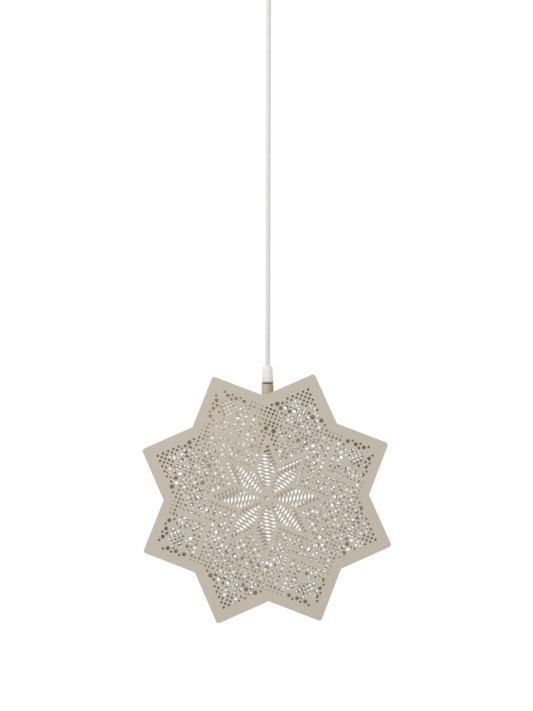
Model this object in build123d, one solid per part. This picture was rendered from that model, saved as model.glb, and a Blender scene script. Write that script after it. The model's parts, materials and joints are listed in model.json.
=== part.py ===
"""A pierced metal star pendant: two flat star plates on a narrow rim, hung from a textile cord.

Frame: millimetres, +Z up, the origin on the ceiling at the middle of the bracket.
The star faces -Y, and +X is on its right hand side as it is looked at.
"""

import os
from math import cos, radians, sin, sqrt

from build123d import *

# ---------------------------------------------------------------- driving dimensions, mm
# star
STAR_RADIUS = 200.0         # centre to the sharp point of a tip
STAR_DEPTH = 90.0           # over both plates
PLATE = 1.0                 # sheet of the two plates
PLATE_EDGE_ROUND = 0.7      # worn round of the plates' outer edge
RIM_WALL = 1.2              # folded band between the plates
TIP_ROUND = 4.5             # radius of each tip
VALLEY_ROUND = 1.5          # and of each valley
PLAIN_BORDER = 18.4         # unpierced margin inside the outline
HANG_TILT = 1.45            # the star hangs this many degrees anticlockwise, seen from the front
COVER_GAP = 0.2             # between the rim and the plate that comes off

# piercing, in steps of the lattice that lines up with every second tip
ORNAMENT_STEPS = 29         # steps from the centre to the last hole of a tip
DOT = 0.31                  # hole radii, as shares of one step
FINE_DOT = 0.25
SPECK = 0.18
BOLD_DOT = 0.38
BERRY = 0.49
MEDALLION = 0.57
CENTRE_HOLE = 0.50
SLIT_WIDTH = 0.52
OVAL_WIDTH = 0.46
OVAL_LENGTH = 0.80
RIM_PITCH = 2.36            # steps between the large holes at the root of a tip
EDGE_PITCH = 2.15           # and along the edge of the tips between

# cord and its fittings
CORD_DIAMETER = 7.2
CORD_LENGTH = 620.0         # from the ceiling fitting to the strain relief
CORD_SWING_GAP = 0.3        # round the cord's two ball ends
RELIEF_TOP = 14.6           # strain relief: diameters and height
RELIEF_FOOT = 17.4
RELIEF_HEIGHT = 24.6
RELIEF_GROOVE_DROP = 19.7    # from the top to the line above the collar
RELIEF_GROOVE = 0.8
RELIEF_RING = 18.6
RELIEF_RING_HEIGHT = 2.9
RELIEF_RING_ROUND = 0.8
RELIEF_EDGE_ROUND = 1.2
RELIEF_SEAT_GAP = 0.6       # round the cord's ball end, let into the top of the relief
TWIST_GAP = 0.3             # between the strain relief and the neck, which turn on each other
NECK_DIAMETER = 18.4
NECK_STAND = 24.9           # height of the neck above the star's valley
NECK_CHAMFER = 0.6
NECK_SPIGOT = 14.8          # the narrower top end of the neck
NECK_SPIGOT_HEIGHT = 1.6

# threaded tube, lampholder
NIPPLE_DIAMETER = 9.8
NIPPLE_BORE = 7.4
RUNNING = 0.05              # radial clearance of a thread or shaft that turns
NIPPLE_IN_RELIEF = 8.0
NIPPLE_IN_CAP = 5.0
SADDLE_DIAMETER = 26.0
SADDLE_THICKNESS = 2.5
NUT_FLATS = 14.0
NUT_HEIGHT = 3.5
HOLDER_DIAMETER = 34.0
HOLDER_WALL = 1.6
HOLDER_CAP_HEIGHT = 25.0
HOLDER_CAP_ROUND = 6.0
HOLDER_SKIRT_HEIGHT = 50.0
HOLDER_LAP = 5.0            # the cap's lip runs this far into the skirt
HOLDER_CORE_HEIGHT = 10.0
SOCKET_BORE = 26.6          # medium screw cap, 27 mm
SOCKET_WALL = 0.4
SOCKET_LENGTH = 22.0
CONTACT_WELL = 3.2          # between the core and the screw shell's upper end
HOLDER_GROOVES = 5
HOLDER_GROOVE_PITCH = 2.4
HOLDER_GROOVE_WIDTH = 1.2
HOLDER_GROOVE_DEPTH = 0.4
EARTH_EXIT_RISE = 9.0       # hole for the earth wire, above the holder's joint
CONTACT_X = 9.5             # terminals, each side of the centre
TERMINAL_SCREW = 1.5        # radius
TERMINAL_SCREW_DROP = 3.0
COLLAR_LAP = 5.0            # the core's collar round the screw shell
CONTACT_TONGUE = (5.0, 4.0, 0.6)
CONTACT_BUTTON = 1.8
WIRE_DIAMETER = 2.2
CORE_WIRE_SPREAD = 1.3      # the two cores inside the cord, off its centre line
CORD_STRIP = 5.0            # the cord's sheath ends this far below the threaded tube

# ceiling fitting
BRACKET_CLEARANCE = 3.3     # between the cup's wall and the bracket's legs
BRACKET_WIDTH = 18.0
BRACKET_SHEET = 1.5
BRACKET_LEG = 16.0
FIXING_SPACING = 50.0
FIXING_HOLE = 5.0
CABLE_HOLE = 12.0
EARTH_SCREW_X = 37.3
EARTH_SCREW_HEAD = 3.5
SCREW_SLOT = 0.9            # driver slots
CANOPY_DIAMETER = 100.0
CANOPY_HEIGHT = 42.0
CANOPY_WALL = 1.2
CANOPY_ROUND = 9.0
CANOPY_GAP = 0.5            # the cup stays this far off the ceiling
SIDE_SCREW_DROP = 9.0       # below the ceiling
SCREW_DIAMETER = 4.0
SIDE_SLOT = 4.5
GRIP_DIAMETER = 16.0
GRIP_FOOT = 12.0
GRIP_HEIGHT = 18.0
GRIP_THREAD = 9.8
GRIP_THREAD_LENGTH = 7.0
GRIP_SCREW_DROP = 7.0
BLOCK = (32.0, 15.0, 15.0)
BLOCK_PITCH = 10.0
BLOCK_TOP = 6.0             # below the ceiling
BLOCK_CORNER = 1.5
CLAMP_FROM_END = 3.6        # clamping screws, from the block's ends
CLAMP_RADIUS = 1.4
SLEEVE_RADIUS = 2.6
SLEEVE_BORE = 1.6
TAIL_ABOVE_GRIP = 1.5

# rim splice, rivets and earth lug
SPLICE_REACH = 14.0
SPLICE_MARGIN = 8.0
RIVET = 1.2                 # radii
RIVET_HEAD = 2.2
RIVET_TAIL = 2.0
RIVET_HEAD_HEIGHT = 0.7
RIVET_TAIL_HEIGHT = 0.9
RIVET_FROM_VALLEY = 8.0
EARTH_LUG_X = 30.0          # off the centre line, on the right upper wall beside the neck
EARTH_Y = 22.0              # behind the middle of the rim
LUG_SHEET = 0.8
LUG_RING = 4.0
LUG_BARREL = 1.9
LUG_BARREL_LENGTH = 6.0
LUG_BARREL_X = -11.5
PAN_HEAD = 3.6
PAN_HEAD_HEIGHT = 2.4

# removable cover
LUG_REACH = 23.0            # corner lugs: length from the sharp point of the tip
LUG_THICKNESS = 3.0
LUG_HOLE_FROM_TIP = 15.5
KNOB_DIAMETER = 9.0
KNOB_HEIGHT = 5.0
KNOB_RIBS = 18
KNOB_CHAMFER = 0.6
KNOB_GROOVE = 0.5
SCREW_END = 1.5             # of a cover screw past its lug
SEAT_GAP = 0.1              # under a turning head

# ---------------------------------------------------------------- places worked out from them
HALF_DEPTH = STAR_DEPTH / 2
CORD_RADIUS = CORD_DIAMETER / 2
NIPPLE_RADIUS = NIPPLE_DIAMETER / 2
SCREW_RADIUS = SCREW_DIAMETER / 2
STEP = (STAR_RADIUS - PLAIN_BORDER * sqrt(2)) / ORNAMENT_STEPS
VALLEY_RADIUS = STAR_RADIUS * cos(radians(45)) / cos(radians(22.5))
TIP_ANGLES = [22.5 + 45 * k for k in range(8)]
FRONT_AXIS = 67.5           # direction of the ornament's first tip on the front plate
BACK_AXIS = FRONT_AXIS + 45  # the same plate turned round

CUP_RADIUS = CANOPY_DIAMETER / 2
LEG_OUTSIDE_X = CUP_RADIUS - CANOPY_WALL - BRACKET_CLEARANCE
SIDE_SCREW_Z = -SIDE_SCREW_DROP
BLOCK_FLOOR_Z = -BLOCK_TOP - BLOCK[2]
CLAMP_HEIGHTS = [BLOCK_FLOOR_Z + CLAMP_FROM_END, -BLOCK_TOP - CLAMP_FROM_END]
CANOPY_FLOOR_Z = -(CANOPY_GAP + CANOPY_HEIGHT)
GRIP_TOP_Z = CANOPY_FLOOR_Z + CANOPY_WALL + GRIP_THREAD_LENGTH
CORD_TAIL_TOP_Z = GRIP_TOP_Z + TAIL_ABOVE_GRIP
CORD_TOP_Z = CANOPY_FLOOR_Z - GRIP_HEIGHT
CORD_PIVOT_Z = CORD_TOP_Z - CORD_SWING_GAP - CORD_RADIUS
RELIEF_TOP_Z = CORD_TOP_Z - CORD_LENGTH
RELIEF_SEAT_Z = RELIEF_TOP_Z - CORD_RADIUS - RELIEF_SEAT_GAP
RELIEF_CONE_Z = RELIEF_TOP_Z - RELIEF_HEIGHT
RELIEF_FOOT_Z = RELIEF_CONE_Z - RELIEF_RING_HEIGHT
NECK_TOP_Z = RELIEF_FOOT_Z - TWIST_GAP
VALLEY_Z = NECK_TOP_Z - NECK_STAND
STAR_Z = VALLEY_Z - VALLEY_RADIUS
SADDLE_Z = VALLEY_Z - RIM_WALL - SADDLE_THICKNESS
NUT_Z = SADDLE_Z - NUT_HEIGHT
HOLDER_TOP_Z = NUT_Z - CORD_SWING_GAP
HOLDER_SPLIT_Z = HOLDER_TOP_Z - HOLDER_CAP_HEIGHT
HOLDER_FOOT_Z = HOLDER_SPLIT_Z - HOLDER_SKIRT_HEIGHT
NIPPLE_TOP_Z = RELIEF_FOOT_Z + NIPPLE_IN_RELIEF
NIPPLE_FOOT_Z = HOLDER_TOP_Z - NIPPLE_IN_CAP
CORE_TOP_Z = HOLDER_SPLIT_Z - HOLDER_LAP
CORE_Z = CORE_TOP_Z - HOLDER_CORE_HEIGHT
SOCKET_TOP_Z = CORE_Z - CONTACT_WELL
SOCKET_Z = SOCKET_TOP_Z - SOCKET_LENGTH
SHEATH_END_Z = NIPPLE_FOOT_Z - CORD_STRIP
EARTH_EXIT_Z = HOLDER_SPLIT_Z + EARTH_EXIT_RISE
RIM_FRONT_Y = -HALF_DEPTH + PLATE
RIM_BACK_Y = HALF_DEPTH - PLATE - COVER_GAP


# ---------------------------------------------------------------- small helpers
def rod(radius, low, high, x=0.0, y=0.0):
    """An upright cylinder between two heights."""
    return Pos(x, y, 0) * stub(radius, low, high)


def stub(radius, low, high):
    """A cylinder on the local Z axis between two heights, for pieces that are placed afterwards."""
    return Pos(0, 0, low) * Cylinder(radius, high - low, align=(Align.CENTER, Align.CENTER, Align.MIN))


def tube(outer, inner, low, high, x=0.0, y=0.0):
    return rod(outer, low, high, x, y) - rod(inner, low - 1, high + 1, x, y)


def rod_x(radius, start, end, y, z):
    return Pos((start + end) / 2, y, z) * Rot(0, 90, 0) * Cylinder(radius, abs(end - start))


def rod_y(radius, start, end, x, z):
    return Pos(x, (start + end) / 2, z) * Rot(90, 0, 0) * Cylinder(radius, abs(end - start))


def block(low, high):
    """A box between two corners."""
    size = [b - a for a, b in zip(low, high)]
    return Pos(*low) * Box(*size, align=(Align.MIN, Align.MIN, Align.MIN))


def hexagon(flats, low, high):
    return Pos(0, 0, low) * extrude(RegularPolygon(flats / 2, 6, major_radius=False), high - low)


def turned(points):
    """A solid of revolution about Z from (radius, height) points."""
    profile = make_face(Polyline(*[(r, 0, z) for r, z in points], close=True))
    return revolve(profile, Axis.Z)


def wire_along(points, bend):
    """A round conductor along straight runs joined by arcs."""
    path = FilletPolyline(*points, radius=bend)
    start = Plane(origin=path @ 0, z_dir=path % 0)
    return sweep(start * Circle(WIRE_DIAMETER / 2), path=path)


def star_plane(y):
    """The star's own plane at depth y: x to its right, y up its tilted height, z to the front."""
    tilt = radians(HANG_TILT)
    return Plane(origin=(0, y, STAR_Z), x_dir=(cos(tilt), 0, sin(tilt)), z_dir=(0, -1, 0))


def on_star(angle, radius, y):
    """The point at an angle and radius in the star's own plane."""
    return star_plane(y).from_local_coords((radius * cos(radians(angle)), radius * sin(radians(angle)), 0))


# ---------------------------------------------------------------- the star's outline and piercing
def star_face(inset=0.0):
    """The eight-pointed outline of two crossed squares, moved in by inset."""
    tip = STAR_RADIUS - inset * sqrt(2)
    valley = VALLEY_RADIUS * tip / STAR_RADIUS
    corners = []
    for angle in TIP_ANGLES:
        corners.append((tip * cos(radians(angle)), tip * sin(radians(angle))))
        corners.append((valley * cos(radians(angle + 22.5)), valley * sin(radians(angle + 22.5))))
    face = make_face(Polyline(*corners, close=True))
    tips = [v for v in face.vertices() if Vector(v.X, v.Y).length > (tip + valley) / 2]
    face = fillet(tips, TIP_ROUND - inset)
    valleys = [v for v in face.vertices() if Vector(v.X, v.Y).length < valley + PLATE]
    return fillet(valleys, VALLEY_ROUND + inset)


def dots(radius, row, places):
    """Round holes of one size on the row u = row, at each v of places."""
    return [(row, v, radius) for v in places]


def star_tip_dots():
    """The stepped triangle of dots that fills a tip, and the plain rows under it."""
    holes = []
    for row in range(25, ORNAMENT_STEPS + 1):
        holes += dots(DOT, row, range(ORNAMENT_STEPS - row + 1))
    holes += dots(DOT, 21, range(9)) + dots(SPECK, 21, range(9, 13))
    holes += dots(DOT, 20, range(13))
    holes += dots(FINE_DOT, 19.1, range(11))
    holes += dots(DOT, 18, range(11))
    holes += dots(DOT, 17.15, range(3, 8))
    return holes


def berry_band():
    """The zigzag of large holes that crosses the root of a tip, with seeds over and under it."""
    pitch = RIM_PITCH
    holes = dots(BERRY, 22.15, [0, pitch, 2 * pitch]) + dots(DOT, 22.1, [3 * pitch])
    holes += dots(MEDALLION, 22.85, [pitch / 2, 3 * pitch / 2, 5 * pitch / 2])
    holes += dots(BOLD_DOT, 23.5, [pitch, 2 * pitch])
    holes += dots(FINE_DOT, 24.05, [pitch / 2, 3 * pitch / 2 + 0.3])
    holes += dots(FINE_DOT, 23.55, [0.4])
    return holes


def medallion_band():
    """The row of largest holes at the foot of a tip, and the ones that turn the corner with it."""
    holes = dots(MEDALLION, 16.1, [0, 2.25, 4.3, 6.35])
    holes += dots(FINE_DOT, 15.3, [1.2]) + dots(BOLD_DOT, 16.85, [1.25])
    holes += [(u, 8.22, MEDALLION) for u in (10.6, 12.45, 14.6)]
    holes += [(16.6, 8.2, BERRY), (13.5, 8.8, DOT), (15.9, 9.0, FINE_DOT), (13.6, 7.35, DOT)]
    return holes


def inner_wedge():
    """The triangle of dots between two petals, standing on the tip's axis."""
    holes = dots(BOLD_DOT, 10, [0]) + dots(FINE_DOT, 15, [0])
    for v in range(6):
        first = 10 + v if v else 11
        holes += [(u, v, DOT) for u in range(max(first, 11), 15)]
    holes += dots(DOT, 15, [3, 4, 5])
    return holes


def square_border():
    """The two square lines of dots, and the buds that grow in their corner."""
    holes = [(u, 6, DOT) for u in range(6, 16)]
    holes += [(u, 10, DOT) for u in range(10, 18)]
    holes += [(u, 7, BOLD_DOT) for u in (7, 11)]
    holes += [(8, 7, FINE_DOT), (12, 7, DOT), (9.5, 7.5, BOLD_DOT), (15.05, 7, BOLD_DOT)]
    holes += [(7.9, 7.9, BERRY), (8.9, 8.9, DOT)]
    return holes


def corner_tip():
    """The tips between: a corner of dots, seeds along the edge, and ovals up the middle."""
    holes = [(u, 12, DOT) for u in range(12, 20)]
    holes += [(13.1, 13.1, BOLD_DOT), (13.9, 13.9, BERRY)]
    holes += [(15.05, 13.3, DOT), (16.1, 13.9, BERRY), (16.05, 13.0, FINE_DOT), (17.2, 13.3, DOT)]
    holes += [(17.1, 14.5, DOT), (18.1, 12.9, FINE_DOT), (18.25, 13.9, BOLD_DOT), (19.3, 13.2, DOT)]
    holes += [(18.6, 15.7, BERRY), (19.8, 17.1, BOLD_DOT)]
    for k in range(3):
        holes.append((20.4, 13.9 + k * EDGE_PITCH, BERRY))
        holes.append((20.95, 13.9 + (k + 0.5) * EDGE_PITCH, DOT))
    return holes


def corner_ovals():
    """(along the tip's axis, off it) of the upright ovals in the tips between."""
    inner = [(22.8 + k * 1.03, 0.42) for k in range(4)]
    outer = [(23.35 + k * 0.97, 1.2) for k in range(3)]
    return inner + outer


def petal_slits():
    """The two ends of each slanting slit of a petal, and of the bud at its point."""
    slant, first, pitch, count = 0.76, 3.7, 1.14, 10
    side, far_side, near_line, far_line = 0.67, 4.5, 0.67, 7.7
    ends = []
    for k in range(count):
        rise = first + k * pitch
        v_low = max(side, (rise - far_line) / (1 + slant))
        v_high = min(far_side, (rise - near_line) / (1 + slant))
        ends.append(((rise - slant * v_low, v_low), (rise - slant * v_high, v_high)))
    ends.append(((12.15, 4.15), (11.75, 4.45)))
    return ends


def round_wire(u, v, radius):
    return Wire.make_circle(radius * STEP, Plane(origin=(u * STEP, v * STEP, 0)))


def slot_wire(start, end, width):
    """A slot with round ends; start and end are the middles of its two ends."""
    a, b = Vector(*start) * STEP, Vector(*end) * STEP
    along = (b - a).normalized()
    side = Vector(-along.Y, along.X) * (width * STEP / 2)
    cap = along * (width * STEP / 2)
    return Wire([
        Edge.make_line(a - side, b - side),
        Edge.make_three_point_arc(b - side, b + cap, b + side),
        Edge.make_line(b + side, a + side),
        Edge.make_three_point_arc(a + side, a - cap, a - side),
    ])


def eighth_of_piercing():
    """Wires between a tip's axis (v = 0) and the next tip's (u = v): those on a line, and those off it."""
    rounds = star_tip_dots() + berry_band() + medallion_band() + inner_wedge() + square_border()
    rounds += corner_tip() + dots(FINE_DOT, 1.9, [0.9])
    on_axis = [round_wire(*hole) for hole in rounds if hole[1] == 0]
    on_diagonal = [round_wire(*hole) for hole in rounds if hole[0] == hole[1]]
    between = [round_wire(*hole) for hole in rounds if 0 < hole[1] < hole[0]]
    between += [slot_wire(*ends, SLIT_WIDTH) for ends in petal_slits()]
    half = (OVAL_LENGTH - OVAL_WIDTH) / 2
    for along, off in corner_ovals():
        ends = [((b + off) / sqrt(2), (b - off) / sqrt(2)) for b in (along - half, along + half)]
        between.append(slot_wire(*ends, OVAL_WIDTH))
    return on_axis + on_diagonal, between


def piercing(axis_angle):
    """Every hole of a plate whose first lined-up tip points at axis_angle."""
    once, mirrored = eighth_of_piercing()
    reflected = [wire.mirror(Plane.XZ) for wire in mirrored]
    wires = [Wire.make_circle(CENTRE_HOLE * STEP)]
    for quarter in range(4):
        turn = Rot(0, 0, axis_angle + 90 * quarter)
        wires += [turn * wire for wire in once + mirrored + reflected]
    return wires


# ---------------------------------------------------------------- star
def star_plate(axis_angle, y_outside, outwards, extra_holes=()):
    """A pierced plate; y_outside is its outer face and outwards the side that face looks to."""
    low = y_outside if outwards > 0 else y_outside + PLATE
    blank = extrude(star_plane(low) * star_face(), PLATE)
    outer_face = blank.faces().sort_by(Axis.Y)[-1 if outwards > 0 else 0]
    blank = fillet(outer_face.outer_wire().edges(), PLATE_EDGE_ROUND)
    surround = Wire.make_circle(1.2 * STAR_RADIUS)
    sieve = Face(surround, piercing(axis_angle) + list(extra_holes))
    return blank & extrude(star_plane(y_outside + 2 * PLATE) * sieve, 4 * PLATE)


def front_plate():
    return star_plate(FRONT_AXIS, -HALF_DEPTH, -1)


def cover_screw_spots():
    """(angle, radius) of the four screws of the removable cover, in the star's own plane."""
    return [(BACK_AXIS - 45 + 90 * k, STAR_RADIUS - LUG_HOLE_FROM_TIP) for k in range(4)]


def back_plate():
    clear = SCREW_RADIUS + 0.3
    holes = []
    for angle, radius in cover_screw_spots():
        spot = (radius * cos(radians(angle)), radius * sin(radians(angle)), 0)
        holes.append(Wire.make_circle(clear, Plane(origin=spot)))
    return star_plate(BACK_AXIS, HALF_DEPTH, 1, holes)


def star_prism(inset, y_front=RIM_FRONT_Y, y_back=RIM_BACK_Y):
    return extrude(star_plane(y_back) * star_face(inset), y_back - y_front)


def half_space(side):
    """A large box on one side of the star's tilted upright centre line."""
    size = 3 * STAR_RADIUS
    box = Pos(side * size / 2, 0, 0) * Box(size, size, size)
    return star_plane(0).location * box


def rim_half(side):
    """Half of the folded band; both halves are notched for the threaded tube."""
    band = star_prism(0) - star_prism(RIM_WALL, RIM_FRONT_Y - 1, RIM_BACK_Y + 1)
    half = band & half_space(side)
    return half - rod(NIPPLE_RADIUS, NUT_Z, NECK_TOP_Z) - splice_rivet_shanks()


def bottom_splice():
    """A folded strip inside the lowest valley that joins the two halves of the rim."""
    strip = star_prism(RIM_WALL, RIM_FRONT_Y + SPLICE_MARGIN, RIM_BACK_Y - SPLICE_MARGIN)
    strip -= star_prism(2 * RIM_WALL, RIM_FRONT_Y - 1, RIM_BACK_Y + 1)
    window = Pos(0, -VALLEY_RADIUS, 0) * Box(2 * SPLICE_REACH, 2 * SPLICE_REACH, STAR_DEPTH)
    return (strip & (star_plane(0).location * window)) - splice_rivet_shanks()


def splice_rivet_spots():
    """Points and directions, square to the rim, of the rivets through the splice."""
    spots = []
    for side in (-1, 1):
        angle = radians(-90 - side * 22.5)
        along = Vector(side * cos(radians(22.5)), -sin(radians(22.5)))
        foot = Vector(0, -VALLEY_RADIUS) + along * RIVET_FROM_VALLEY
        spots.append((foot, Vector(cos(angle), sin(angle))))
    return spots


def rivets(radius, start, end):
    """Cylinders along the rivet axes, from start to end, counted outwards from the rim's outer face."""
    solids = []
    for foot, outwards in splice_rivet_spots():
        for y in (-HALF_DEPTH / 2, HALF_DEPTH / 2):
            low = star_plane(y).from_local_coords(tuple(foot + outwards * start))
            high = star_plane(y).from_local_coords(tuple(foot + outwards * end))
            axis = Plane(origin=low, z_dir=high - low)
            solids.append(axis.location * stub(radius, 0, end - start))
    return solids


def splice_rivet_shanks():
    return rivets(RIVET, -3 * RIM_WALL, RIM_WALL)


def splice_rivets():
    inner_face = -2 * RIM_WALL
    shanks = rivets(RIVET, inner_face - RIVET_TAIL_HEIGHT / 2, RIVET_HEAD_HEIGHT / 2)
    heads = rivets(RIVET_HEAD, 0.0, RIVET_HEAD_HEIGHT)
    tails = rivets(RIVET_TAIL, inner_face - RIVET_TAIL_HEIGHT, inner_face)
    return [shank + head + tail for shank, head, tail in zip(shanks, heads, tails)]


def cover_lugs():
    """Four corner plates soldered into the rim, each tapped for a cover screw."""
    lugs = []
    inside = star_prism(RIM_WALL, RIM_BACK_Y - LUG_THICKNESS, RIM_BACK_Y)
    for angle, radius in cover_screw_spots():
        cut = Pos(STAR_RADIUS - LUG_REACH / 2, 0, 0) * Box(LUG_REACH, 3 * LUG_REACH, STAR_DEPTH)
        centre = on_star(angle, radius, 0)
        lug = inside & (star_plane(HALF_DEPTH).location * Rot(0, 0, angle) * cut)
        lugs.append(lug - rod_y(SCREW_RADIUS, 0, STAR_DEPTH, centre.X, centre.Z))
    return lugs


def knurled_screw(shank_length, shank_radius):
    """A hand screw along +Z from the underside of its head, its shank below it."""
    head = stub(KNOB_DIAMETER / 2, 0, KNOB_HEIGHT)
    head = chamfer(head.faces().sort_by(Axis.Z)[-1].edges(), KNOB_CHAMFER)
    for k in range(KNOB_RIBS):
        groove = Rot(0, 0, 360 * k / KNOB_RIBS) * Pos((KNOB_DIAMETER + KNOB_GROOVE) / 2, 0, KNOB_HEIGHT / 2)
        head -= groove * Cylinder(KNOB_GROOVE, 2 * KNOB_HEIGHT)
    return head + stub(shank_radius, -shank_length, 1)


def cover_screw(angle, radius):
    seat = on_star(angle, radius, HALF_DEPTH + SEAT_GAP)
    reach = PLATE + COVER_GAP + LUG_THICKNESS + SCREW_END
    screw = knurled_screw(reach, SCREW_RADIUS - RUNNING)
    return Plane(origin=seat, x_dir=(1, 0, 0), z_dir=(0, 1, 0)).location * screw


# ---------------------------------------------------------------- neck and lampholder
def neck_tube():
    """The spacer between the strain relief and the star, its foot cut to sit in the valley."""
    blank = rod(NECK_DIAMETER / 2, VALLEY_Z - 2, NECK_TOP_Z - NECK_SPIGOT_HEIGHT)
    blank = chamfer(blank.faces().sort_by(Axis.Z)[-1].edges(), NECK_CHAMFER)
    blank += rod(NECK_SPIGOT / 2, VALLEY_Z, NECK_TOP_Z)
    blank -= rod(NIPPLE_RADIUS, VALLEY_Z - 3, NECK_TOP_Z + 1)
    return blank - star_prism(0)


def neck_nipple():
    return tube(NIPPLE_RADIUS, NIPPLE_BORE / 2, NIPPLE_FOOT_Z, NIPPLE_TOP_Z)


def saddle_washer():
    """The washer inside the rim: flat below, and shaped to the valley above."""
    blank = rod(SADDLE_DIAMETER / 2, SADDLE_Z, VALLEY_Z + SADDLE_DIAMETER)
    return (blank & star_prism(RIM_WALL)) - rod(NIPPLE_RADIUS, SADDLE_Z - 1, NECK_TOP_Z)


def nipple_nut():
    return hexagon(NUT_FLATS, NUT_Z, SADDLE_Z) - rod(NIPPLE_RADIUS, NUT_Z - 1, SADDLE_Z + 1)


def holder_cap():
    outer, inner = HOLDER_DIAMETER / 2, HOLDER_DIAMETER / 2 - HOLDER_WALL
    shell = rod(outer, HOLDER_SPLIT_Z, HOLDER_TOP_Z)
    shell = fillet(shell.faces().sort_by(Axis.Z)[-1].edges(), HOLDER_CAP_ROUND)
    hollow = rod(inner, HOLDER_SPLIT_Z - 1, HOLDER_TOP_Z - 2 * HOLDER_WALL)
    hollow = fillet(hollow.faces().sort_by(Axis.Z)[-1].edges(), HOLDER_CAP_ROUND - HOLDER_WALL)
    lip = tube(inner, inner - HOLDER_WALL, CORE_TOP_Z, HOLDER_SPLIT_Z + 2 * HOLDER_WALL)
    cable_exit = rod_y(WIRE_DIAMETER / 2 + 2 * SEAT_GAP, 0, outer + 1, 0, EARTH_EXIT_Z)
    return shell - hollow + lip - rod(NIPPLE_RADIUS, HOLDER_SPLIT_Z, HOLDER_TOP_Z + 1) - cable_exit


def holder_skirt():
    """The lampholder's lower shell, with a moulded bead at its mouth."""
    outer, inner = HOLDER_DIAMETER / 2, HOLDER_DIAMETER / 2 - HOLDER_WALL
    shell = rod(outer, HOLDER_FOOT_Z, HOLDER_SPLIT_Z)
    shell = fillet(shell.faces().sort_by(Axis.Z)[0].edges(), HOLDER_WALL / 3)
    for k in range(HOLDER_GROOVES):
        top = HOLDER_SPLIT_Z - HOLDER_GROOVE_PITCH * (k + 1)
        shell -= tube(outer + 1, outer - HOLDER_GROOVE_DEPTH, top - HOLDER_GROOVE_WIDTH, top)
    return shell - rod(inner, HOLDER_FOOT_Z - 1, HOLDER_SPLIT_Z + 1)


def holder_core():
    """The insulating core that carries the contacts and the screw shell."""
    radius = HOLDER_DIAMETER / 2 - HOLDER_WALL
    core = rod(radius, CORE_Z, CORE_TOP_Z)
    collar = tube(radius, SOCKET_BORE / 2 + SOCKET_WALL, SOCKET_TOP_Z - COLLAR_LAP, CORE_Z)
    screw_z = CORE_TOP_Z - TERMINAL_SCREW_DROP
    for x in (-CONTACT_X, CONTACT_X):
        core -= rod(WIRE_DIAMETER / 2, CORE_TOP_Z - 2 * TERMINAL_SCREW_DROP, CORE_TOP_Z + 1, x, 0)
        core -= rod_y(TERMINAL_SCREW, -radius - 1, -WIRE_DIAMETER / 2, x, screw_z)
    return core + collar


def holder_terminal_screws():
    screws = []
    for x in (-CONTACT_X, CONTACT_X):
        end = -WIRE_DIAMETER / 2 - SEAT_GAP
        screws.append(rod_y(TERMINAL_SCREW, 3 * end, end, x, CORE_TOP_Z - TERMINAL_SCREW_DROP))
    return screws


def lamp_screw_shell():
    """The brass liner that the lamp's cap screws into."""
    outer = SOCKET_BORE / 2 + SOCKET_WALL
    return tube(outer, SOCKET_BORE / 2, SOCKET_Z, SOCKET_TOP_Z)


def centre_contact():
    """The sprung tongue that meets the lamp's tip."""
    length, width, sheet = CONTACT_TONGUE
    tongue = block((-length / 2, -width / 2, CORE_Z - sheet), (length / 2, width / 2, CORE_Z))
    return tongue + rod(CONTACT_BUTTON, CORE_Z - sheet - CONTACT_BUTTON, CORE_Z - sheet)


def side_contact():
    """The strip between the core and the screw shell's upper edge."""
    outer = SOCKET_BORE / 2 + SOCKET_WALL
    half_width = CONTACT_TONGUE[1] / 2
    strip = block((SOCKET_BORE / 2 - SOCKET_WALL, -half_width, SOCKET_TOP_Z), (outer + 1, half_width, CORE_Z))
    return strip & rod(outer, SOCKET_TOP_Z, CORE_Z)


def holder_wire(side):
    """From the cord's end inside the cap down to its terminal."""
    start, end = side * CORE_WIRE_SPREAD, side * CONTACT_X
    bend = 1.3 * WIRE_DIAMETER
    points = [
        (start, 0, SHEATH_END_Z),
        (start, 0, SHEATH_END_Z - bend),
        (end, 0, CORE_TOP_Z + 1.4 * bend),
        (end, 0, CORE_TOP_Z - bend),
    ]
    return wire_along(points, bend)


def earth_spot():
    """The inner face of the rim beside the neck: point, direction along the wall, direction inwards."""
    tilt = radians(HANG_TILT + 22.5)
    along = Vector(cos(tilt), 0, sin(tilt))
    inwards = Vector(sin(tilt), 0, -cos(tilt))
    valley = on_star(90, VALLEY_RADIUS - RIM_WALL / cos(radians(22.5)), 0)
    return valley + along * EARTH_LUG_X, along, inwards


def earth_plane(height=0.0):
    """Plane on the rim's inner wall at the earth lug; z points into the star."""
    spot, along, inwards = earth_spot()
    return Plane(origin=spot + inwards * height + Vector(0, EARTH_Y, 0), x_dir=along, z_dir=inwards)


def earth_lug():
    """A ring tongue with a crimp barrel, held by the earth screw."""
    ring = stub(LUG_RING, 0, LUG_SHEET)
    neck = Pos(LUG_BARREL_X / 2, 0, LUG_SHEET / 2) * Box(LUG_BARREL_LENGTH, 2 * LUG_BARREL, LUG_SHEET)
    middle = Pos(LUG_BARREL_X, 0, LUG_BARREL) * Rot(0, 90, 0)
    barrel = middle * Cylinder(LUG_BARREL, LUG_BARREL_LENGTH)
    bore = middle * Cylinder(WIRE_DIAMETER / 2, LUG_BARREL_LENGTH + 1)
    hole = Cylinder(SCREW_RADIUS, 4 * LUG_SHEET)
    return earth_plane().location * (ring + neck + barrel - bore - hole)


def earth_lug_screw():
    """A pan head screw through the tongue, with its shank stopping in the rim wall."""
    top = LUG_SHEET + PAN_HEAD_HEIGHT
    head = stub(PAN_HEAD, LUG_SHEET, top)
    head = fillet(head.faces().sort_by(Axis.Z)[-1].edges(), LUG_SHEET)
    slot = Pos(0, 0, top) * Box(3 * PAN_HEAD, SCREW_SLOT, PAN_HEAD_HEIGHT / 2)
    return earth_plane().location * (stub(SCREW_RADIUS, 0, LUG_SHEET) + head - slot)


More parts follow.
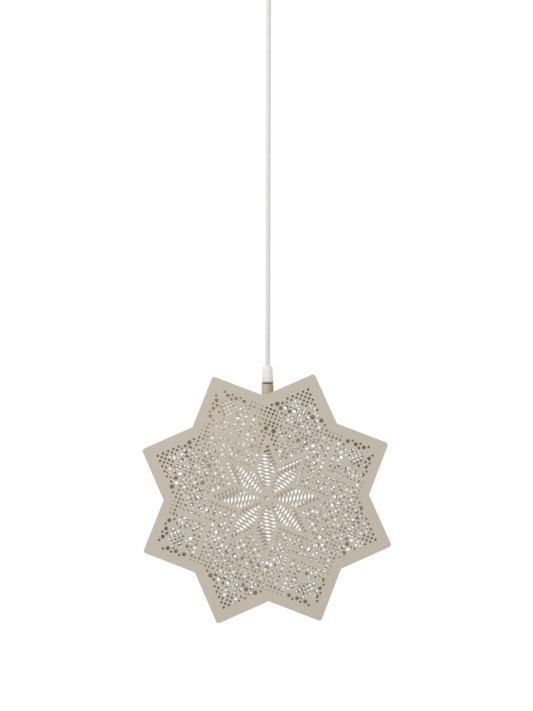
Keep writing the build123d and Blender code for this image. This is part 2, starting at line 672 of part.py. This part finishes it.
def star_earth_wire():
    """Out of the lampholder cap at the back and round to the earth lug on the rim."""
    barrel_end = LUG_BARREL_X - 0.45 * LUG_BARREL_LENGTH
    points = [
        (0, 2 * WIRE_DIAMETER, EARTH_EXIT_Z),
        (0, HOLDER_DIAMETER / 2 + 3 * WIRE_DIAMETER, EARTH_EXIT_Z),
        tuple(earth_plane(LUG_BARREL).from_local_coords((barrel_end - LUG_BARREL_LENGTH, 0, 0))),
        tuple(earth_plane(LUG_BARREL).from_local_coords((barrel_end, 0, 0))),
    ]
    return wire_along(points, 1.6 * WIRE_DIAMETER)


def cord_foot():
    """The cord from inside the strain relief, through the threaded tube, to the lampholder cap."""
    return rod(CORD_RADIUS, SHEATH_END_Z, RELIEF_SEAT_Z)


def strain_relief():
    """A tapered rubber sleeve that screws onto the top of the threaded tube."""
    top, foot = RELIEF_TOP / 2, RELIEF_FOOT / 2
    bore = CORD_RADIUS + RUNNING
    outside = turned([
        (0, RELIEF_CONE_Z), (foot, RELIEF_CONE_Z), (top, RELIEF_TOP_Z), (0, RELIEF_TOP_Z),
    ])
    outside = fillet(outside.faces().sort_by(Axis.Z)[-1].edges(), RELIEF_EDGE_ROUND)
    line_z = RELIEF_TOP_Z - RELIEF_GROOVE_DROP
    waist = top + (foot - top) * RELIEF_GROOVE_DROP / RELIEF_HEIGHT - RELIEF_GROOVE
    outside -= tube(RELIEF_FOOT, waist, line_z - RELIEF_GROOVE, line_z)
    sleeve = outside - rod(bore, RELIEF_CONE_Z - 1, RELIEF_TOP_Z + 1)
    sleeve -= rod(CORD_RADIUS + RELIEF_SEAT_GAP, RELIEF_SEAT_Z, RELIEF_TOP_Z + 1)
    return sleeve - rod(NIPPLE_RADIUS + RUNNING, RELIEF_CONE_Z - 1, NIPPLE_TOP_Z + TWIST_GAP)


def relief_ring():
    """The locking ring at the foot of the strain relief."""
    ring = rod(RELIEF_RING / 2, RELIEF_FOOT_Z, RELIEF_CONE_Z)
    ring = fillet(ring.edges(), RELIEF_RING_ROUND)
    return ring - rod(NIPPLE_RADIUS + RUNNING, RELIEF_FOOT_Z - 1, RELIEF_CONE_Z + 1)


# ---------------------------------------------------------------- cord
def cord():
    """The hanging cord, straight under the star's weight, with a ball end at each of its two hinges."""
    middle = rod(CORD_RADIUS, RELIEF_TOP_Z, CORD_PIVOT_Z)
    ends = [Pos(0, 0, z) * Sphere(CORD_RADIUS) for z in (RELIEF_TOP_Z, CORD_PIVOT_Z)]
    return middle + ends[0] + ends[1]


# ---------------------------------------------------------------- ceiling fitting
def ceiling_bracket():
    """A steel strap with two turned-down legs, each tapped for a side screw."""
    half_width = BRACKET_WIDTH / 2
    strap = block((-LEG_OUTSIDE_X, -half_width, -BRACKET_LEG), (LEG_OUTSIDE_X, half_width, 0))
    inside = LEG_OUTSIDE_X - BRACKET_SHEET
    strap -= block((-inside, -half_width - 1, -BRACKET_LEG - 1), (inside, half_width + 1, -BRACKET_SHEET))
    for x in (-FIXING_SPACING / 2, FIXING_SPACING / 2):
        strap -= rod(FIXING_HOLE / 2, -BRACKET_SHEET - 1, 1, x)
    strap -= rod(CABLE_HOLE / 2, -BRACKET_SHEET - 1, 1)
    strap -= rod(SCREW_RADIUS, -BRACKET_SHEET - 1, 1, EARTH_SCREW_X)
    return strap - rod_x(SCREW_RADIUS, -LEG_OUTSIDE_X - 1, LEG_OUTSIDE_X + 1, 0, SIDE_SCREW_Z)


def bracket_earth_screw():
    """The screw under the strap for the supply's earth wire."""
    x, top = EARTH_SCREW_X, -BRACKET_SHEET
    foot = top - PAN_HEAD_HEIGHT
    screw = rod(SCREW_RADIUS, top, -2 * SEAT_GAP, x) + rod(EARTH_SCREW_HEAD, foot, top, x)
    return screw - block((x - 4, -SCREW_SLOT / 2, foot - 1), (x + 4, SCREW_SLOT / 2, foot + SCREW_SLOT))


def canopy_cup():
    """The round ceiling cup, with an open slot each side that slips over the side screws."""
    rim_z = -CANOPY_GAP
    outside = rod(CUP_RADIUS, CANOPY_FLOOR_Z, rim_z)
    outside = fillet(outside.faces().sort_by(Axis.Z)[0].edges(), CANOPY_ROUND)
    inside = rod(CUP_RADIUS - CANOPY_WALL, CANOPY_FLOOR_Z + CANOPY_WALL, rim_z + 1)
    inside = fillet(inside.faces().sort_by(Axis.Z)[0].edges(), CANOPY_ROUND - CANOPY_WALL)
    cup = outside - inside - rod(GRIP_THREAD / 2, CANOPY_FLOOR_Z - 1, 0)
    for side in (-1, 1):
        near, far = sorted((side * (CUP_RADIUS - 6), side * (CUP_RADIUS + 1)))
        cup -= block((near, -SIDE_SLOT / 2, SIDE_SCREW_Z), (far, SIDE_SLOT / 2, 1))
        cup -= rod_x(SIDE_SLOT / 2, near, far, 0, SIDE_SCREW_Z)
    return cup


def canopy_screw(side):
    """A knurled side screw through the cup's slot into the bracket's leg."""
    seat = CUP_RADIUS + CORD_SWING_GAP
    reach = seat - LEG_OUTSIDE_X + BRACKET_SHEET + 1
    screw = knurled_screw(reach, SCREW_RADIUS - RUNNING)
    place = Plane(origin=(side * seat, 0, SIDE_SCREW_Z), x_dir=(0, 1, 0), z_dir=(side, 0, 0))
    return place.location * screw


def cord_grip():
    """The gland under the cup: a tapered nose, and a thread up through the cup's floor."""
    top, foot = GRIP_DIAMETER / 2, GRIP_FOOT / 2
    nose = turned([
        (0, CORD_TOP_Z), (foot, CORD_TOP_Z), (top, CORD_TOP_Z + GRIP_HEIGHT / 2),
        (top, CANOPY_FLOOR_Z), (0, CANOPY_FLOOR_Z),
    ])
    nose = fillet(nose.faces().sort_by(Axis.Z)[0].edges(), RELIEF_EDGE_ROUND)
    body = nose + rod(GRIP_THREAD / 2, CANOPY_FLOOR_Z, GRIP_TOP_Z)
    body -= rod(CORD_RADIUS, CORD_TOP_Z - 1, GRIP_TOP_Z + 1)
    return body - rod_y(SCREW_RADIUS, 0, GRIP_DIAMETER, 0, CANOPY_FLOOR_Z - GRIP_SCREW_DROP)


def grip_nut():
    low = CANOPY_FLOOR_Z + CANOPY_WALL
    return hexagon(NUT_FLATS, low, low + NUT_HEIGHT) - rod(GRIP_THREAD / 2, low - 1, low + NUT_HEIGHT + 1)


def grip_screw():
    """The grub screw that presses on the cord, with a driver slot."""
    z = CANOPY_FLOOR_Z - GRIP_SCREW_DROP
    start, end = CORD_RADIUS + 2 * SEAT_GAP, GRIP_DIAMETER / 2 - CORD_SWING_GAP
    screw = rod_y(SCREW_RADIUS - RUNNING, start, end, 0, z)
    return screw - block((-3, end - 1, z - SCREW_SLOT / 2), (3, end + 1, z + SCREW_SLOT / 2))


def block_ways():
    return [(k - 1) * BLOCK_PITCH for k in range(3)]


def terminal_block():
    """A three-way connector: a moulded body with a well over every clamping screw."""
    half_x, half_y = BLOCK[0] / 2, BLOCK[1] / 2
    body = block((-half_x, -half_y, BLOCK_FLOOR_Z), (half_x, half_y, -BLOCK_TOP))
    body = fillet(body.edges().filter_by(Axis.Z), BLOCK_CORNER)
    for x in block_ways():
        body -= rod(SLEEVE_RADIUS, BLOCK_FLOOR_Z - 1, -BLOCK_TOP + 1, x)
        for z in CLAMP_HEIGHTS:
            body -= rod_y(CLAMP_RADIUS, -half_y - 1, 0, x, z)
    return body


def terminal_sleeves():
    sleeves = []
    for x in block_ways():
        sleeve = tube(SLEEVE_RADIUS, SLEEVE_BORE, BLOCK_FLOOR_Z + 1, -BLOCK_TOP - 1, x)
        for z in CLAMP_HEIGHTS:
            sleeve -= rod_y(CLAMP_RADIUS, -SLEEVE_RADIUS - 1, 0, x, z)
        sleeves.append(sleeve)
    return sleeves


def terminal_screws():
    head_y = 1.5 - BLOCK[1] / 2
    screws = []
    for x in block_ways():
        for z in CLAMP_HEIGHTS:
            screw = rod_y(CLAMP_RADIUS, head_y, -WIRE_DIAMETER / 2 - SEAT_GAP, x, z)
            slot = block((x - 2, head_y - 1, z - 0.3), (x + 2, head_y + 0.7, z + 0.3))
            screws.append(screw - slot)
    return screws


def canopy_wire(way):
    """From the cord's end to one way of the terminal block."""
    x_start, y_start = (way - 1) * 1.2, 1.0 if way == 1 else -0.9
    x_end = block_ways()[way]
    points = [
        (x_start, y_start, CORD_TAIL_TOP_Z),
        (x_start, y_start, CORD_TAIL_TOP_Z + 2.6),
        (x_end, 0, BLOCK_FLOOR_Z - 2.2),
        (x_end, 0, BLOCK_FLOOR_Z + 6.0),
    ]
    return wire_along(points, 1.6)


def cord_tail():
    """The cord's end inside the grip and the cup."""
    return rod(CORD_RADIUS, CORD_TOP_Z, CORD_TAIL_TOP_Z)


# ---------------------------------------------------------------- every node, and the files
def nodes():
    parts = {
        "ceiling_bracket": ceiling_bracket(),
        "bracket_earth_screw": bracket_earth_screw(),
        "canopy_screw_left": canopy_screw(-1),
        "canopy_screw_right": canopy_screw(1),
        "canopy_cup": canopy_cup(),
        "cord_grip": cord_grip(),
        "grip_nut": grip_nut(),
        "grip_screw": grip_screw(),
        "terminal_block": terminal_block(),
        "terminal_sleeves": terminal_sleeves(),
        "terminal_screws": terminal_screws(),
        "live_wire": canopy_wire(0),
        "earth_wire": canopy_wire(1),
        "neutral_wire": canopy_wire(2),
        "cord_tail": cord_tail(),
        "cord": cord(),
        "strain_relief": strain_relief(),
        "relief_ring": relief_ring(),
        "neck_tube": neck_tube(),
        "neck_nipple": neck_nipple(),
        "saddle_washer": saddle_washer(),
        "nipple_nut": nipple_nut(),
        "cord_foot": cord_foot(),
        "holder_cap": holder_cap(),
        "holder_skirt": holder_skirt(),
        "holder_core": holder_core(),
        "holder_terminal_screws": holder_terminal_screws(),
        "holder_live_wire": holder_wire(-1),
        "holder_neutral_wire": holder_wire(1),
        "lamp_screw_shell": lamp_screw_shell(),
        "centre_contact": centre_contact(),
        "side_contact": side_contact(),
        "star_earth_wire": star_earth_wire(),
        "earth_lug": earth_lug(),
        "earth_lug_screw": earth_lug_screw(),
        "front_plate": front_plate(),
        "rim_left": rim_half(-1),
        "rim_right": rim_half(1),
        "bottom_splice": bottom_splice(),
        "splice_rivets": splice_rivets(),
        "cover_lugs": cover_lugs(),
        "back_plate": back_plate(),
    }
    for number, spot in enumerate(cover_screw_spots(), 1):
        parts[f"cover_screw_{number}"] = cover_screw(*spot)
    return parts


def main():
    os.makedirs("parts", exist_ok=True)
    for name, shape in nodes().items():
        pieces = shape if isinstance(shape, list) else [shape]
        solids = [solid for piece in pieces for solid in piece.solids()]
        export_step(Compound(children=solids) if len(solids) > 1 else solids[0], f"parts/{name}.step")
    print(f"star centre {STAR_Z:.2f}, valley {VALLEY_Z:.2f}, cord pivot {CORD_PIVOT_Z:.2f}, "
          f"relief pivot {RELIEF_TOP_Z:.2f}, lampholder foot {HOLDER_FOOT_Z:.2f}, socket {SOCKET_Z:.2f}")


main()
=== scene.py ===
"""Blender model of a pierced metal star pendant on a braided cord.

Metres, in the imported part's own frame: +Z up, the origin on the ceiling, the star faces -Y.
"""
import json
from math import cos, floor, pi, radians, sin, sqrt

import bpy
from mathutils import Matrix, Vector


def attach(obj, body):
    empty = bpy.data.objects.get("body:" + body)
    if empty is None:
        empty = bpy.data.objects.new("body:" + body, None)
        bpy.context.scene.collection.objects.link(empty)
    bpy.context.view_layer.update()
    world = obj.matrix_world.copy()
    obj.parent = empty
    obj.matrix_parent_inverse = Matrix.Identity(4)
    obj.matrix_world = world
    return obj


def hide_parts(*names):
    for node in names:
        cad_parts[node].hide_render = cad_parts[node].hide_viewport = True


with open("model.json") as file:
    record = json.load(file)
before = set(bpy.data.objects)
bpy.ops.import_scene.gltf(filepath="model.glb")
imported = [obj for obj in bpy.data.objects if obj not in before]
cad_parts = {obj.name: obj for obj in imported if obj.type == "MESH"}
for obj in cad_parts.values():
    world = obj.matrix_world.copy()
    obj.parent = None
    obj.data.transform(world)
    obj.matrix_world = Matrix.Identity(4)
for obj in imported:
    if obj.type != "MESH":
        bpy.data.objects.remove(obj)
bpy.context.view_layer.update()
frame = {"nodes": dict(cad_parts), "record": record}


# ---------------------------------------------------------------- material building
class Level:
    """A number that varies over a surface. Sums on it add the maths nodes that work it out."""

    def __init__(self, paint, socket):
        self.paint, self.socket = paint, socket

    def maths(self, operation, *values):
        return self.paint.level("Math", {"operation": operation}, dict(enumerate(values)))

    def __add__(self, other):
        return self.maths("ADD", self, other)

    def __radd__(self, other):
        return self.maths("ADD", other, self)

    def __mul__(self, other):
        return self.maths("MULTIPLY", self, other)

    def smooth_step(self, low, high):
        """0 under low, 1 over high, and a soft slope between."""
        return self.paint.level("MapRange", {"interpolation_type": "SMOOTHSTEP"},
                                {"Value": self, "From Min": low, "From Max": high}, "Result")


class Paint:
    """A material in the making: a tree of nodes that ends in one shader."""

    def __init__(self, name, owner=None):
        if owner is None:
            owner = bpy.data.materials.new(name)
        owner.use_nodes = True
        self.owner, self.tree = owner, owner.node_tree
        self.tree.nodes.clear()

    def node(self, kind, settings=None, sockets=None):
        """Adds a node, sets its settings, then gives its sockets their values or links."""
        made = self.tree.nodes.new("ShaderNode" + kind)
        for name, value in (settings or {}).items():
            setattr(made, name, value)
        for name, value in (sockets or {}).items():
            if isinstance(value, Level):
                value = value.socket
            if isinstance(value, bpy.types.NodeSocket):
                self.tree.links.new(value, made.inputs[name])
            else:
                made.inputs[name].default_value = value
        return made

    def level(self, kind, settings=None, sockets=None, output=0):
        return Level(self, self.node(kind, settings, sockets).outputs[output])

    def place(self):
        return self.node("TexCoord").outputs["Object"]

    def noise(self, scale, detail, roughness, where=None):
        return self.level("TexNoise", None, {"Vector": where or self.place(), "Scale": scale,
                                             "Detail": detail, "Roughness": roughness})

    def mix(self, factor, first, second):
        """A colour between two, as rgb triples or links."""
        colours = {"A": first, "B": second}
        made = self.node("Mix", {"data_type": "RGBA"}, {0: factor})
        for socket in made.inputs:
            if socket.type == "RGBA":
                value = colours[socket.name]
                if isinstance(value, bpy.types.NodeSocket):
                    self.tree.links.new(value, socket)
                else:
                    socket.default_value = (*value, 1)
        return next(s for s in made.outputs if s.type == "RGBA")

    def bump(self, height, depth, strength):
        sockets = {"Height": height, "Distance": depth, "Strength": strength}
        return self.node("Bump", None, sockets).outputs[0]

    def finish(self, colour, roughness, normal, metallic=0.0, **constants):
        """Ends the tree in a shader. Each further constant names its socket, with _ for a space."""
        sockets = {"Base Color": colour, "Roughness": roughness, "Metallic": metallic, "Normal": normal}
        sockets.update({name.replace("_", " "): value for name, value in constants.items()})
        shader = self.node("BsdfPrincipled", None, sockets)
        self.node("OutputMaterial", None, {"Surface": shader.outputs[0]})
        return self.owner


COAT_GRAIN = (0.42, 0.38, 0.31)     # the dark grain in the star's coat
COAT_GRAIN_SHARE = 0.14
COAT_BUMP = 0.00006


def greige_powder_coat(name):
    """Matte coat on the star: faint cloudy patches, a fine grain and a few pale rubs."""
    paint = Paint(name)
    patches = paint.noise(16, 3, 0.55).smooth_step(0.35, 0.65)
    blotches = paint.noise(55, 2, 0.5).smooth_step(0.4, 0.7)
    grain = paint.noise(1500, 1, 0.5)
    rubs = paint.noise(210, 4, 0.65).smooth_step(0.63, 0.8)
    colour = paint.mix(patches, (0.530, 0.480, 0.397), (0.546, 0.484, 0.409))
    colour = paint.mix(blotches * 0.3, colour, (0.50, 0.465, 0.388))
    colour = paint.mix(rubs * 0.3, colour, (0.62, 0.575, 0.49))
    colour = paint.mix(grain * COAT_GRAIN_SHARE, colour, COAT_GRAIN)
    return paint.finish(colour, 0.52 + patches * 0.08 + grain * 0.1,
                        paint.bump(grain + rubs * 0.4, COAT_BUMP, 0.5))


NECK_SHADE_FOOT_Z = -0.7099       # foot of the neck's narrow top end, where the painted shade under the ring starts
NECK_SHADE_EDGE = 0.0002     # how softly the painted shade starts there


def neck_coat(name):
    """The star's coat on the neck, with painted shade that makes it browner and darker to the right,
    away from the light, and painted dark shade on its narrow top end under the ring.
    """
    paint = Paint(name)
    grain = paint.noise(1500, 1, 0.5)
    place = paint.node("SeparateXYZ", None, {0: paint.place()})
    # painted shade: the right side, away from the light, is coloured browner and darker, with a warm
    # painted reflection
    shaded_right = Level(paint, place.outputs["X"]).smooth_step(-0.004, 0.006)
    # painted shade: the narrow top end in the recess under the ring is coloured near black
    recess_shade = Level(paint, place.outputs["Z"]).smooth_step(NECK_SHADE_FOOT_Z, NECK_SHADE_FOOT_Z + NECK_SHADE_EDGE)
    colour = paint.mix(shaded_right, (0.545, 0.500, 0.425), (0.46, 0.365, 0.275))
    colour = paint.mix(grain * COAT_GRAIN_SHARE, colour, COAT_GRAIN)
    colour = paint.mix(recess_shade, colour, (0.075, 0.060, 0.060))
    return paint.finish(colour, 0.45 + grain * 0.1, paint.bump(grain, COAT_BUMP, 0.5))


def white_enamel(name):
    """Satin stoved enamel on the spun ceiling cup, with a slight orange peel."""
    paint = Paint(name)
    peel = paint.noise(420, 2, 0.45)
    clouds = paint.noise(20, 2, 0.5)
    colour = paint.mix(clouds, (0.80, 0.79, 0.76), (0.84, 0.83, 0.80))
    return paint.finish(colour, 0.28 + peel * 0.12, paint.bump(peel, 0.00005, 0.6),
                        Coat_Weight=0.3)


def white_cord(name):
    """Off-white cotton of the braided cord: fine yarns, a little soiled in places."""
    paint = Paint(name)
    fibre = paint.noise(5200, 2, 0.6)
    yarns = paint.noise(900, 3, 0.6)
    soiling = paint.noise(30, 2, 0.5)
    colour = paint.mix(yarns.smooth_step(0.3, 0.7), (0.70, 0.695, 0.68), (0.79, 0.785, 0.77))
    colour = paint.mix(soiling * 0.25, colour, (0.66, 0.65, 0.62))
    return paint.finish(colour, 0.82 + fibre * 0.12, paint.bump(fibre + yarns, 0.00012, 0.8),
                        Sheen_Weight=0.25)


def moulded_white(name, dull, bright, roughness):
    """Moulded nylon or rubber: nearly even, with faint flow marks and a fine mould texture."""
    paint = Paint(name)
    flow = paint.noise(70, 3, 0.6)
    texture = paint.noise(2600, 1, 0.5)
    colour = paint.mix(flow.smooth_step(0.35, 0.7), dull, bright)
    return paint.finish(colour, roughness + texture * 0.12,
                        paint.bump(texture + flow, 0.00003, 0.6))


def white_porcelain(name):
    """Bare fired porcelain with iron specks."""
    paint = Paint(name)
    grit = paint.noise(1800, 2, 0.6)
    specks = paint.noise(900, 0, 0.5).smooth_step(0.74, 0.8)
    colour = paint.mix(specks * 0.5, (0.80, 0.78, 0.73), (0.35, 0.25, 0.16))
    return paint.finish(colour, 0.6 + grit * 0.2, paint.bump(grit, 0.00005, 0.5))


TOOL_GRAIN_STRETCH = (1, 1, 12)


def plated_metal(name, dull, bright, roughness):
    """Plated or bare metal with a stretched tool grain and cloudy tarnish."""
    paint = Paint(name)
    stretched = paint.node("Mapping", None, {"Vector": paint.place(), "Scale": TOOL_GRAIN_STRETCH})
    grain = paint.noise(260, 3, 0.6, stretched.outputs[0])
    tarnish = paint.noise(90, 3, 0.6).smooth_step(0.35, 0.75)
    colour = paint.mix(tarnish, bright, dull)
    return paint.finish(colour, roughness + tarnish * 0.14 + grain * 0.08,
                        paint.bump(grain, 0.00003, 0.5), metallic=1.0)


def wire_sleeving(name, colour, shade):
    """Extruded wire insulation: glossy, a little scuffed."""
    paint = Paint(name)
    scuffs = paint.noise(700, 3, 0.6)
    mixed = paint.mix(scuffs.smooth_step(0.4, 0.75), colour, shade)
    return paint.finish(mixed, 0.3 + scuffs * 0.2, paint.bump(scuffs, 0.00003, 0.5))


# slot: the function that makes its finish, and the colours and roughness that it takes
SLOT_FINISHES = {
    "greige_powder_coat": (greige_powder_coat,),
    "white_enamel": (white_enamel,),
    "white_cord": (white_cord,),
    "white_nylon": (moulded_white, (0.74, 0.735, 0.68), (0.81, 0.80, 0.75), 0.38),
    "white_rubber": (moulded_white, (0.80, 0.80, 0.78), (0.85, 0.85, 0.84), 0.5),
    "white_porcelain": (white_porcelain,),
    "zinc_steel": (plated_metal, (0.50, 0.50, 0.48), (0.66, 0.66, 0.65), 0.3),
    "brass_fitting": (plated_metal, (0.52, 0.37, 0.16), (0.76, 0.59, 0.30), 0.24),
    "nickel_knob": (plated_metal, (0.56, 0.54, 0.50), (0.72, 0.70, 0.66), 0.22),
    "brown_sleeving": (wire_sleeving, (0.20, 0.085, 0.04), (0.28, 0.14, 0.08)),
    "blue_sleeving": (wire_sleeving, (0.04, 0.14, 0.42), (0.09, 0.21, 0.5)),
    "green_sleeving": (wire_sleeving, (0.17, 0.44, 0.09), (0.5, 0.52, 0.08)),
}
FINISHES = {slot: make(slot + "_finish", *values)
            for slot, (make, *values) in SLOT_FINISHES.items()}


def finish_frame_nodes():
    """Gives every CAD node the finish of its slot; the neck and the ring above it have their own."""
    slots = {part["node"]: part["material_slot"] for part in frame["record"]["subparts"]}
    for name, piece in frame["nodes"].items():
        for slot in piece.material_slots:
            slot.material = FINISHES[slots[name]]
    cream = moulded_white("cream_nylon_finish", (0.48, 0.475, 0.40), (0.55, 0.545, 0.47), 0.38)
    own = {"neck_tube": neck_coat("neck_coat_finish"), "relief_ring": cream}
    for name, finish in own.items():
        for slot in frame["nodes"][name].material_slots:
            slot.material = finish


# ---------------------------------------------------------------- cord
CORD_RADIUS = 0.0036
CORD_TOP, CORD_FOOT = -0.0608, -0.6841
CORD_ROUTE = [(0, 0, CORD_TOP), (0, 0, -0.12), (0, 0, -0.37), (0, 0, -0.62), (0, 0, CORD_FOOT)]
BRAID_CELLS = 12            # strands of each hand
BRAID_CELL_HEIGHT = 0.0022
BRAID_SAMPLES = 4           # vertices across a cell
BRAID_RELIEF = 0.00022      # depth of the hollows between the strands
STRAND_ROUNDNESS = 0.5      # powers that shape a strand across and along
STRAND_FLATNESS = 0.25


def spline_points(route):
    """Points along the smooth curve that a route's points control."""
    curve = bpy.data.curves.new("cord_line", "CURVE")
    curve.dimensions = "3D"
    spline = curve.splines.new("NURBS")
    spline.points.add(len(route) - 1)
    for point, place in zip(spline.points, route):
        point.co = (*place, 1)
    spline.order_u = 3
    spline.use_endpoint_u = True
    spline.resolution_u = 24
    holder = bpy.data.objects.new("cord_line", curve)
    mesh = bpy.data.meshes.new_from_object(holder)
    points = [tuple(vertex.co) for vertex in mesh.vertices]
    bpy.data.objects.remove(holder)
    bpy.data.meshes.remove(mesh)
    return points


def braid_height(across, along):
    """Relief of the over-and-under braid, 0 to 1, at a place counted in cells."""
    first, second = across + along, across - along
    over = (floor(first) + floor(second)) % 2
    ridge, run = (first, second) if over else (second, first)
    return abs(sin(pi * ridge)) ** STRAND_ROUNDNESS * abs(sin(pi * run)) ** STRAND_FLATNESS


def braided_cord():
    """A plumb cord with rounded ends, its rings level, its surface raised in a braid."""
    line = spline_points(CORD_ROUTE)
    columns = BRAID_CELLS * BRAID_SAMPLES
    step = BRAID_CELL_HEIGHT / BRAID_SAMPLES
    rows = int((CORD_TOP - CORD_FOOT) / step)
    vertices, faces = [(0, 0, CORD_TOP)], []
    for row in range(1, rows):
        drop = (CORD_TOP - CORD_FOOT) * row / rows
        from_end = min(drop, CORD_TOP - CORD_FOOT - drop)
        short = max(0.0, CORD_RADIUS - from_end)
        radius = sqrt(CORD_RADIUS ** 2 - short ** 2)
        for column in range(columns):
            relief = braid_height(column / BRAID_SAMPLES, row / BRAID_SAMPLES)
            here = radius - BRAID_RELIEF * (1 - relief) * radius / CORD_RADIUS
            angle = 2 * pi * column / columns
            vertices.append((here * cos(angle), here * sin(angle), CORD_TOP - drop))
    vertices.append((0, 0, CORD_FOOT))
    last = len(vertices) - 1
    for column in range(columns):
        beside = (column + 1) % columns
        faces.append((0, 1 + column, 1 + beside))
        faces.append((last, last - columns + beside, last - columns + column))
        for row in range(rows - 2):
            a, b = 1 + row * columns + column, 1 + row * columns + beside
            faces.append((a, a + columns, b + columns, b))
    mesh = bpy.data.meshes.new("pendant_cord")
    mesh.from_pydata(vertices, [], faces)
    mesh.polygons.foreach_set("use_smooth", [True] * len(mesh.polygons))
    piece = bpy.data.objects.new("pendant_cord", mesh)
    bpy.context.scene.collection.objects.link(piece)
    mesh.materials.append(FINISHES["white_cord"])
    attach(piece, "cord")
    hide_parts("cord")


# ---------------------------------------------------------------- room, light and camera
EYE = (0.050, -1.465, -0.936)
EYE_PITCH = 4.6                     # degrees above level
EYE_LENS, EYE_SENSOR = 48.24, 36    # mm
EYE_SHIFT = (-0.0469, 0.1390)       # of the frame, in parts of its height


def camera():
    """The photograph's viewpoint: a little to the right of the star and below its middle."""
    data = bpy.data.cameras.new("photo_camera")
    data.lens, data.sensor_width = EYE_LENS, EYE_SENSOR
    data.shift_x, data.shift_y = EYE_SHIFT
    data.clip_end = 50
    eye = bpy.data.objects.new("photo_camera", data)
    bpy.context.scene.collection.objects.link(eye)
    eye.location = EYE
    eye.rotation_euler = (radians(90 + EYE_PITCH), 0, 0)
    bpy.context.scene.camera = eye


FLOOR_Z = -1.48
FLOOR_RADIUS = 8
FLOOR_FADE = (0.35, 1.25)           # from the middle: where the floor starts and ends to turn white


def floor_and_backdrop():
    """A pale floor under the star that fades to the white of the backdrop."""
    bpy.ops.object.select_all(action="DESELECT")
    bpy.ops.mesh.primitive_circle_add(vertices=96, radius=FLOOR_RADIUS, fill_type="NGON",
                                      location=(0, 0, FLOOR_Z))
    ground = bpy.context.active_object
    ground.name = "studio_floor"
    paint = Paint("studio_floor_finish")
    away = paint.level("VectorMath", {"operation": "LENGTH"}, {0: paint.place()}, "Value")
    seen = paint.level("LightPath", output="Is Camera Ray")
    pale = paint.node("BsdfDiffuse", None, {"Color": (0.82, 0.82, 0.81, 1)}).outputs[0]
    white = paint.node("Emission", None, {"Color": (1, 1, 1, 1), "Strength": 1.0}).outputs[0]
    fade = away.smooth_step(*FLOOR_FADE) * seen
    mixed = paint.node("MixShader", None, {0: fade, 1: pale, 2: white}).outputs[0]
    paint.node("OutputMaterial", None, {"Surface": mixed})
    ground.data.materials.append(paint.owner)


def soft_world(level):
    """Even grey light on the object, and white where the camera or a shiny face looks past it."""
    world = bpy.data.worlds.new("studio_world")
    bpy.context.scene.world = world
    paint = Paint("studio_world", world)
    path = paint.node("LightPath")
    camera_ray, glossy_ray, transmission_ray = (
        Level(paint, path.outputs[name])
        for name in ("Is Camera Ray", "Is Glossy Ray", "Is Transmission Ray"))
    shown = camera_ray + glossy_ray + transmission_ray
    light = paint.node("Background", None, {"Color": (1, 1, 1, 1), "Strength": level}).outputs[0]
    white = paint.node("Background", None, {"Color": (1, 1, 1, 1), "Strength": 1.0}).outputs[0]
    mixed = paint.node("MixShader", None, {0: shown, 1: light, 2: white}).outputs[0]
    paint.node("OutputWorld", None, {"Surface": mixed})


def soft_box(name, place, target, size, power, seen):
    """A round soft light at place that looks at target."""
    data = bpy.data.lights.new(name, "AREA")
    data.shape, data.size, data.energy = "DISK", size, power
    lamp = bpy.data.objects.new(name, data)
    bpy.context.scene.collection.objects.link(lamp)
    lamp.location = place
    lamp.rotation_euler = (Vector(target) - Vector(place)).to_track_quat("-Z", "Y").to_euler()
    lamp.visible_camera = lamp.visible_glossy = seen


STAR_CENTRE = (0, 0, -0.886)
WORLD_LEVEL = 0.78
# name, place, what it looks at, diameter in metres, power in watts, seen by the camera
SOFT_BOXES = [
    ("key_light", (-1.9, -1.9, 0.5), STAR_CENTRE, 1.4, 21, True),
    ("fill_light", (1.9, -1.8, -0.9), STAR_CENTRE, 1.6, 3, True),
    ("top_light", (-0.35, -0.75, -0.05), (0, 0, -0.75), 0.5, 0.9, False),
    # in the star: on the back plate's inner face, and on the lampholder's left side
    ("inner_light", (0, -0.010, -0.886), (0, 1, -0.886), 0.30, 0.088, False),
    ("holder_light", (-0.10, -0.020, -0.775), (0, -0.012, -0.765), 0.05, 0.045, False),
]

camera()
braided_cord()
finish_frame_nodes()
floor_and_backdrop()
soft_world(WORLD_LEVEL)
for soft_box_values in SOFT_BOXES:
    soft_box(*soft_box_values)
bpy.context.scene.view_settings.view_transform = "Standard"

bpy.context.view_layer.update()
